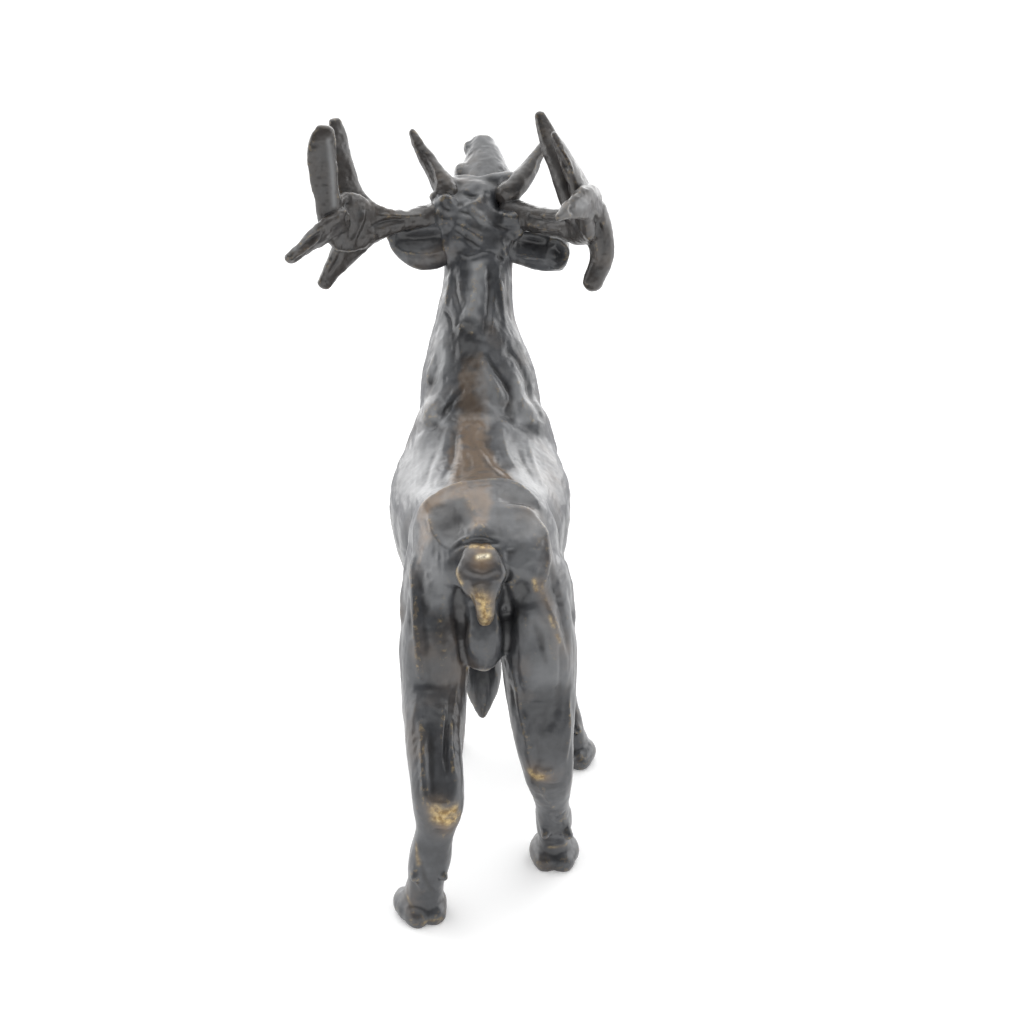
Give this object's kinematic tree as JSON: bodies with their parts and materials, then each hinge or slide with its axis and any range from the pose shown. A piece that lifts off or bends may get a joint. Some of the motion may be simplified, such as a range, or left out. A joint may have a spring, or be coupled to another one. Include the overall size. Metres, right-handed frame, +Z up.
{
  "type": "animal figurine",
  "caption": "Small cast bronze figurine of a standing, bellowing stag with spreading antlers, joined from separate castings and resting on its hooves with no base.",
  "frame": {"origin": "middle of the footprint of the whole figure, on the surface it stands on", "axes": "+Z up through the figure; the stag faces -Y, its right side is towards -X and its left side towards +X"},
  "size_m": [0.0519, 0.094, 0.1091],
  "materials": {
    "dark_bronze": "cast bronze with a dark waxed brown-black patina, rubbed to bright metal on the hocks, tail and high edges",
    "antler_bronze": "cast bronze with a dark patina, a little glossier than the body",
    "pin_brass": "filed brass pins and plugs, toned with the body"
  },
  "bodies": {
    "root": {"trunk_casting": "dark_bronze", "head_and_neck_casting": "dark_bronze", "hind_leg_left_casting": "dark_bronze", "hind_leg_right_casting": "dark_bronze", "fore_leg_left_casting": "dark_bronze", "fore_leg_right_casting": "dark_bronze", "antler_left_casting": "antler_bronze", "antler_right_casting": "antler_bronze", "ear_left_casting": "dark_bronze", "ear_right_casting": "dark_bronze", "tail_casting": "dark_bronze", "hind_leg_left_pin": "pin_brass", "hind_leg_right_pin": "pin_brass", "fore_leg_left_pin": "pin_brass", "fore_leg_right_pin": "pin_brass", "neck_pin_left": "pin_brass", "neck_pin_right": "pin_brass", "antler_left_dowel": "pin_brass", "antler_right_dowel": "pin_brass", "tail_rivet": "pin_brass", "belly_core_plug": "pin_brass", "flank_plug_left": "pin_brass", "flank_plug_right": "pin_brass"}
  },
  "joints": []
}
